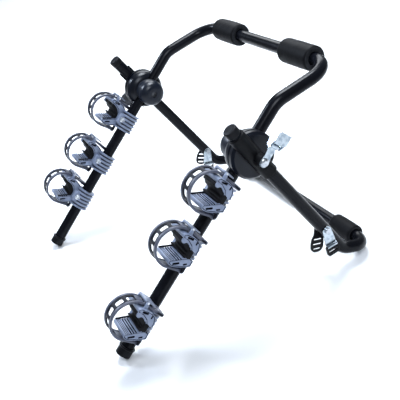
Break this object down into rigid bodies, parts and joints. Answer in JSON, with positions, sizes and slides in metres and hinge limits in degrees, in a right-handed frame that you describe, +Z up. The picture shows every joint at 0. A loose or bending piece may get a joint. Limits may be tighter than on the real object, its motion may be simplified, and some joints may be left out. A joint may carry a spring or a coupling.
{
  "type": "boot-mounted bicycle carrier",
  "caption": "Folding boot-mounted bicycle carrier: a tubular frame with two arms, toothed hubs, rubber-lined cradles with ladder straps and slotted strap buckles.",
  "frame": {"origin": "middle of the footprint, on the floor that the arm caps and the lower foam sleeves stand on", "axes": "+Z up; X across the carrier along the crossbars; -Y towards the arm tips, away from the car"},
  "size_m": [0.7366, 0.6382, 0.4769],
  "materials": {
    "frame_paint": "gloss black powder coat",
    "cap_plastic": "black moulded caps",
    "foam": "closed-cell black foam",
    "hub_plastic": "satin black-blue moulding",
    "jaw_plastic": "satin blue-grey moulding",
    "liner_rubber": "soft black rubber",
    "strap_rubber": "dark grey rubber",
    "latch_plastic": "satin grey moulding",
    "hardware_steel": "zinc plated",
    "zinc_plate": "zinc plated pressing",
    "buckle_plastic": "satin black moulding"
  },
  "bodies": {
    "carrying_frame": {"carrying_frame": "frame_paint", "arm_end_caps": "cap_plastic", "upper_sleeve_left": "foam", "upper_sleeve_right": "foam", "hub_shell_left": "hub_plastic", "hub_shell_right": "hub_plastic", "hub_clamp_left": "hub_plastic", "hub_clamp_right": "hub_plastic", "hub_hardware": "hardware_steel"},
    "lower_frame": {"lower_frame": "frame_paint", "stub_end_caps": "cap_plastic", "lower_sleeve_left": "foam", "lower_sleeve_right": "foam", "hub_disc_left": "hub_plastic", "hub_disc_right": "hub_plastic", "leg_cover_left": "hub_plastic", "leg_cover_right": "hub_plastic", "buckle_bolts": "hardware_steel"},
    "cradle_left_1": {"cradle_left_1_jaw": "jaw_plastic", "cradle_left_1_liner": "liner_rubber", "cradle_left_1_strap": "strap_rubber", "cradle_left_1_fixings": "hardware_steel"},
    "cradle_left_1_latch": {"cradle_left_1_latch": "latch_plastic"},
    "cradle_left_2": {"cradle_left_2_jaw": "jaw_plastic", "cradle_left_2_liner": "liner_rubber", "cradle_left_2_strap": "strap_rubber", "cradle_left_2_fixings": "hardware_steel"},
    "cradle_left_2_latch": {"cradle_left_2_latch": "latch_plastic"},
    "cradle_left_3": {"cradle_left_3_jaw": "jaw_plastic", "cradle_left_3_liner": "liner_rubber", "cradle_left_3_strap": "strap_rubber", "cradle_left_3_fixings": "hardware_steel"},
    "cradle_left_3_latch": {"cradle_left_3_latch": "latch_plastic"},
    "cradle_right_1": {"cradle_right_1_jaw": "jaw_plastic", "cradle_right_1_liner": "liner_rubber", "cradle_right_1_strap": "strap_rubber", "cradle_right_1_fixings": "hardware_steel"},
    "cradle_right_1_latch": {"cradle_right_1_latch": "latch_plastic"},
    "cradle_right_2": {"cradle_right_2_jaw": "jaw_plastic", "cradle_right_2_liner": "liner_rubber", "cradle_right_2_strap": "strap_rubber", "cradle_right_2_fixings": "hardware_steel"},
    "cradle_right_2_latch": {"cradle_right_2_latch": "latch_plastic"},
    "cradle_right_3": {"cradle_right_3_jaw": "jaw_plastic", "cradle_right_3_liner": "liner_rubber", "cradle_right_3_strap": "strap_rubber", "cradle_right_3_fixings": "hardware_steel"},
    "cradle_right_3_latch": {"cradle_right_3_latch": "latch_plastic"},
    "buckle_hub_left_tongue": {"buckle_hub_left_tongue": "zinc_plate"},
    "buckle_hub_left_frame": {"buckle_hub_left_frame": "zinc_plate"},
    "buckle_hub_left_lever": {"buckle_hub_left_lever": "zinc_plate"},
    "buckle_outer_left_plate": {"buckle_outer_left_plate": "buckle_plastic"},
    "buckle_inner_left_tongue": {"buckle_inner_left_tongue": "zinc_plate"},
    "buckle_inner_left_frame": {"buckle_inner_left_frame": "buckle_plastic"},
    "buckle_hub_right_tongue": {"buckle_hub_right_tongue": "zinc_plate"},
    "buckle_hub_right_frame": {"buckle_hub_right_frame": "zinc_plate"},
    "buckle_hub_right_lever": {"buckle_hub_right_lever": "zinc_plate"},
    "buckle_outer_right_tongue": {"buckle_outer_right_tongue": "zinc_plate"},
    "buckle_outer_right_frame": {"buckle_outer_right_frame": "buckle_plastic"},
    "buckle_inner_right_plate": {"buckle_inner_right_plate": "buckle_plastic"}
  },
  "joints": [
    {"name": "hub_fold", "type": "hinge", "parent": "carrying_frame", "child": "lower_frame", "pos_m": [0, 0.05437, 0.34087], "axis": [1, 0, 0], "range_deg": [-60, 30]},
    {"name": "cradle_left_1_slide", "type": "slide", "parent": "carrying_frame", "child": "cradle_left_1", "axis": [0, -0.7372, -0.6757], "range_m": [-0.002, 0.009]},
    {"name": "cradle_left_1_latch_lift", "type": "hinge", "parent": "cradle_left_1", "child": "cradle_left_1_latch", "pos_m": [-0.309, -0.01721, 0.34038], "axis": [1, 0, 0], "range_deg": [0, 20], "stiffness_Nm_per_rad": 0.2, "springref_deg": -5.73},
    {"name": "cradle_left_2_slide", "type": "slide", "parent": "carrying_frame", "child": "cradle_left_2", "axis": [0, -0.7372, -0.6757], "range_m": [-0.009, 0.002]},
    {"name": "cradle_left_2_latch_lift", "type": "hinge", "parent": "cradle_left_2", "child": "cradle_left_2_latch", "pos_m": [-0.309, -0.11157, 0.2539], "axis": [1, 0, 0], "range_deg": [0, 20], "stiffness_Nm_per_rad": 0.2, "springref_deg": -5.73},
    {"name": "cradle_left_3_slide", "type": "slide", "parent": "carrying_frame", "child": "cradle_left_3", "axis": [0, -0.7372, -0.6757], "range_m": [-0.002, 0.082]},
    {"name": "cradle_left_3_latch_lift", "type": "hinge", "parent": "cradle_left_3", "child": "cradle_left_3_latch", "pos_m": [-0.309, -0.19488, 0.17755], "axis": [1, 0, 0], "range_deg": [0, 20], "stiffness_Nm_per_rad": 0.2, "springref_deg": -5.73},
    {"name": "cradle_right_1_slide", "type": "slide", "parent": "carrying_frame", "child": "cradle_right_1", "axis": [0, -0.7372, -0.6757], "range_m": [-0.002, 0.007]},
    {"name": "cradle_right_1_latch_lift", "type": "hinge", "parent": "cradle_right_1", "child": "cradle_right_1_latch", "pos_m": [0.309, -0.01795, 0.3397], "axis": [1, 0, 0], "range_deg": [0, 20], "stiffness_Nm_per_rad": 0.2, "springref_deg": -5.73},
    {"name": "cradle_right_2_slide", "type": "slide", "parent": "carrying_frame", "child": "cradle_right_2", "axis": [0, -0.7372, -0.6757], "range_m": [-0.007, 0.028]},
    {"name": "cradle_right_2_latch_lift", "type": "hinge", "parent": "cradle_right_2", "child": "cradle_right_2_latch", "pos_m": [0.309, -0.10862, 0.2566], "axis": [1, 0, 0], "range_deg": [0, 20], "stiffness_Nm_per_rad": 0.2, "springref_deg": -5.73},
    {"name": "cradle_right_3_slide", "type": "slide", "parent": "carrying_frame", "child": "cradle_right_3", "axis": [0, -0.7372, -0.6757], "range_m": [-0.028, 0.03]},
    {"name": "cradle_right_3_latch_lift", "type": "hinge", "parent": "cradle_right_3", "child": "cradle_right_3_latch", "pos_m": [0.309, -0.23321, 0.14241], "axis": [1, 0, 0], "range_deg": [0, 20], "stiffness_Nm_per_rad": 0.2, "springref_deg": -5.73},
    {"name": "buckle_hub_left_swing", "type": "hinge", "parent": "carrying_frame", "child": "buckle_hub_left_tongue", "pos_m": [-0.34565, 0.05437, 0.34087], "axis": [-1, 0, 0], "range_deg": [-60, 60]},
    {"name": "buckle_hub_left_flap", "type": "hinge", "parent": "buckle_hub_left_tongue", "child": "buckle_hub_left_frame", "pos_m": [-0.35015, 0.02982, 0.31454], "axis": [0, 0.7314, -0.6819], "range_deg": [0, 75]},
    {"name": "buckle_hub_left_lever_lift", "type": "hinge", "parent": "buckle_hub_left_frame", "child": "buckle_hub_left_lever", "pos_m": [-0.35565, 0.02266, 0.30686], "axis": [0, 0.7314, -0.6819], "range_deg": [0, 45], "stiffness_Nm_per_rad": 0.1, "springref_deg": -11.46},
    {"name": "buckle_outer_left_swing", "type": "hinge", "parent": "lower_frame", "child": "buckle_outer_left_plate", "pos_m": [-0.32615, 0.19839, 0.09147], "axis": [-1, 0, 0], "range_deg": [-60, 60]},
    {"name": "buckle_inner_left_swing", "type": "hinge", "parent": "lower_frame", "child": "buckle_inner_left_tongue", "pos_m": [-0.29785, 0.19839, 0.09147], "axis": [-1, 0, 0], "range_deg": [-60, 60]},
    {"name": "buckle_inner_left_flap", "type": "hinge", "parent": "buckle_inner_left_tongue", "child": "buckle_inner_left_frame", "pos_m": [-0.29335, 0.19179, 0.05405], "axis": [0, -0.9848, 0.1736], "range_deg": [0, 75]},
    {"name": "buckle_hub_right_swing", "type": "hinge", "parent": "carrying_frame", "child": "buckle_hub_right_tongue", "pos_m": [0.34565, 0.05437, 0.34087], "axis": [-1, 0, 0], "range_deg": [-60, 60]},
    {"name": "buckle_hub_right_flap", "type": "hinge", "parent": "buckle_hub_right_tongue", "child": "buckle_hub_right_frame", "pos_m": [0.35015, 0.07937, 0.36677], "axis": [0, 0.7194, -0.6946], "range_deg": [0, 75]},
    {"name": "buckle_hub_right_lever_lift", "type": "hinge", "parent": "buckle_hub_right_frame", "child": "buckle_hub_right_lever", "pos_m": [0.35565, 0.08667, 0.37432], "axis": [0, 0.7194, -0.6946], "range_deg": [0, 45], "stiffness_Nm_per_rad": 0.1, "springref_deg": -11.46},
    {"name": "buckle_outer_right_swing", "type": "hinge", "parent": "lower_frame", "child": "buckle_outer_right_tongue", "pos_m": [0.32615, 0.18339, 0.11745], "axis": [-1, 0, 0], "range_deg": [-60, 60]},
    {"name": "buckle_outer_right_flap", "type": "hinge", "parent": "buckle_outer_right_tongue", "child": "buckle_outer_right_frame", "pos_m": [0.33065, 0.18868, 0.07982], "axis": [0, -0.9903, -0.1393], "range_deg": [0, 75]},
    {"name": "buckle_inner_right_swing", "type": "hinge", "parent": "lower_frame", "child": "buckle_inner_right_plate", "pos_m": [0.29785, 0.18339, 0.11745], "axis": [-1, 0, 0], "range_deg": [-60, 60]}
  ]
}
